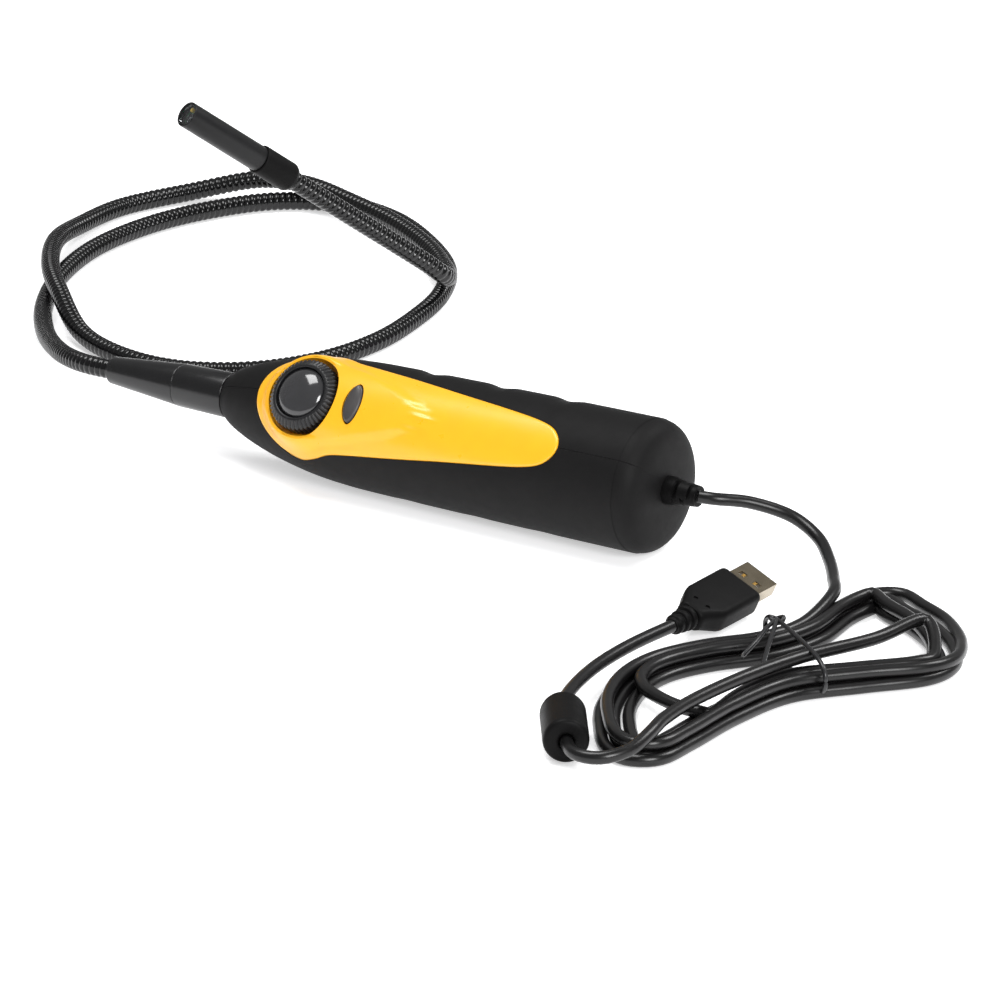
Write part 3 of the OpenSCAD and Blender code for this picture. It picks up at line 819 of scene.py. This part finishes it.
def add_plug():
    """The plug's overmould and the rings of its strain relief."""
    # distance along the plug, width, height and corner radius of each section
    sections = [
        (-22.9, 14.6, 6.8, 1.4), (-23.1, 15.6, 7.7, 1.8), (-23.6, 16.2, 8.2, 2.1),
        (-24.4, 16.4, 8.4, 2.2), (-34, 16.4, 8.4, 2.2), (-42, 16.3, 8.4, 2.2),
        (-43.6, 15.6, 8.3, 2.3), (-45.8, 13.4, 8.1, 2.6), (-48, 11.2, 7.9, 2.8),
        (-49.6, 10, 7.7, 3), (-50.6, 9.6, 7.5, 3.1), (-51.1, 8.8, 6.9, 2.9), (-51.2, 6, 5.4, 2.6)
    ]
    body = add_piece("plug_body", loft([round_box_ring(w, h, c, y) for y, w, h, c in sections]),
                     PLUG, "rubber", smooth=50)
    dimples = [add_piece("dimple", revolve([(0, -0.6), (0.75, -0.6), (0.85, 1), (0, 1)], 24),
                         PLUG @ Matrix.Translation((x, y, 4.2)), "rubber")
               for x, y in ((-2.4, -46.4), (2.4, -46.4))]
    cut(body, *dimples, smooth=50)
    settle(body, "handle", "plug_black", "plug_overmould")
    along_y = Matrix.Rotation(math.radians(90), 4, "X")
    profile = [(0, -0.5), (2.9, -0.5), (2.9, 0.6), (4, 0.8), (4, 2.6), (2.8, 2.8), (2.8, 3.8),
               (3.6, 4), (3.6, 5.6), (2.6, 5.8), (2.6, 6.8), (3.2, 7), (3.2, 8.6), (2.5, 9),
               (2.4, 10), (0, 10)]
    rings = revolve([p[:2] for p in rounded(profile, 0.6)], 48)
    settle(add_piece("plug_neck", rings, PLUG @ Matrix.Translation((0, -51, 0)) @ along_y,
                     "rubber"), "handle", "plug_black", "plug_overmould")


def add_ferrite():
    """The rounded cover of the ferrite bead."""
    cover = [(2.2, 0), (5.6, 0), (6.6, 0.5), (7, 1.6), (7, 22.9), (6.6, 24), (5.6, 24.5),
             (2.2, 24.5)]
    settle(turned("ferrite_skin", cover, 1.1, FERRITE, "rubber"), "handle", "ferrite_grey",
           "ferrite_cover")


TIE_CENTRE = Vector((94.5, -65.5, 6.8))
TIE_WAY = Vector((0.808, -0.59, 0))


def add_tie():
    """A thin wire round the hank: one loop, a knot and two loose tails."""
    loop = []
    for k in range(49):
        angle = 2 * math.pi * k / 48
        across = 24.8 * math.copysign(abs(math.cos(angle)) ** 0.5, math.cos(angle))
        height = 6.1 * math.copysign(abs(math.sin(angle)) ** 0.8, math.sin(angle))
        loop.append(TIE_CENTRE + TIE_WAY * across + Vector((0, 0, height)))
    knot = TIE_CENTRE + TIE_WAY * -15 + Vector((0, 0, 5.9))
    knot_turns = [knot + Vector((2 * math.cos(a), 2 * math.sin(a), 0.5 * math.sin(2 * a)))
                  for a in (math.radians(30 * k) for k in range(22))]
    tails = ([knot, (84, -65, 13), (86, -74, 12), (86, -82, 9.6)],
             [knot, (87, -66, 13.2), (92, -77, 12.4), (97, -88, 10.8)])
    wires = [loop, knot_turns] + [smooth_path(tail, 6) for tail in tails]
    names = ("tie_loop", "tie_knot", "tie_tail_1", "tie_tail_2")
    made = []
    for name, wire in zip(names, wires):
        path = evenly(smooth_path(wire, 3), 0.6)
        last = len(path) - 1
        tube = sweep(path, lambda i, _, n=last: 0.75 if 0 < i < n else 0.5, 12)
        piece = add_piece(name, tube, TO_METRES @ Matrix.Translation(SHIFT), "tie")
        made.append(settle(piece, "handle", "tie_black", "hank_tie"))
    return made


add_plug()
add_ferrite()
tie_pieces = add_tie()


# ---- CAD parts that stay ----

NODE_LOOKS = {
    "knob_shaft": "steel", "knob_potentiometer": "chip", "snapshot_switch": "chip",
    "circuit_board": "board", "circuit_chips": "chip", "cable_socket": "ivory",
    "signal_wires": "wire", "shell_screws": "steel", "strain_relief": "rubber",
    "cable_core_end": "cable", "lens_window": "glass", "camera_lens": "chip",
    "lens_glass": "glass", "led_board": "board", "head_led": "led", "sensor_board": "board",
    "image_sensor": "chip", "ferrite_core": "ferrite", "plug_shell": "plug_metal",
    "plug_tongue": "tongue", "plug_contacts": "gold",
}
SOFTENED_EDGES = {"plug_shell": 0.18, "strain_relief": 0.15, "knob_shaft": 0.2}

for node, look in NODE_LOOKS.items():
    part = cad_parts[node]
    part.data.materials.clear()
    part.data.materials.append(LOOKS[look])
    if node in SOFTENED_EDGES:
        bevel = part.modifiers.new("soft_edges", "BEVEL")
        bevel.width = SOFTENED_EDGES[node] * MM
        bevel.segments = 2
        bevel.limit_method = "ANGLE"

cord_pieces = [bpy.data.objects[name] for name in ("ferrite_skin", "plug_body", "plug_neck")]
cord_pieces += tie_pieces
cord_pieces += [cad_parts[n] for n in ("ferrite_core", "plug_shell", "plug_tongue",
                                            "plug_contacts")]


# ---- studio ----

def add_light(name, location, target, size, power):
    """A square soft light aimed at a point."""
    data = bpy.data.lights.new(name, "AREA")
    data.size = size
    data.energy = power
    light = bpy.data.objects.new(name, data)
    light.location = location
    way = Vector(target) - Vector(location)
    light.rotation_euler = way.to_track_quat("-Z", "Y").to_euler()
    bpy.context.scene.collection.objects.link(light)


def add_studio():
    """White paper floor, white surroundings and three soft lights."""
    bpy.context.scene.view_settings.view_transform = "Standard"
    mesh = bpy.data.meshes.new("floor")
    reach = 6
    mesh.from_pydata([(-reach, -reach, 0), (reach, -reach, 0), (reach, reach, 0),
                      (-reach, reach, 0)], [], [(0, 1, 2, 3)])
    paper = surface("paper", (0.86, 0.86, 0.87), 0.8, mottle=0.01, grain=2, grain_depth=0.02,
                    specular=0.2)
    glow = paper.node_tree.nodes["Principled BSDF"].inputs
    glow["Emission Color"].default_value = (1, 1, 1, 1)
    glow["Emission Strength"].default_value = 0.5
    mesh.materials.append(paper)
    floor = bpy.data.objects.new("floor", mesh)
    bpy.context.scene.collection.objects.link(floor)
    world = bpy.data.worlds.new("studio")
    bpy.context.scene.world = world
    world.use_nodes = True
    background = world.node_tree.nodes["Background"]
    background.inputs["Color"].default_value = (1, 1, 1, 1)
    background.inputs["Strength"].default_value = 0.3
    middle = (0.06, 0.08, 0)
    add_light("key", (0.9, 1.0, 1.5), middle, 0.7, 17)
    add_light("top", (-0.3, -0.2, 1.6), middle, 0.8, 18)
    add_light("fill", (1.5, -1.0, 0.9), middle, 0.7, 24)


add_studio()
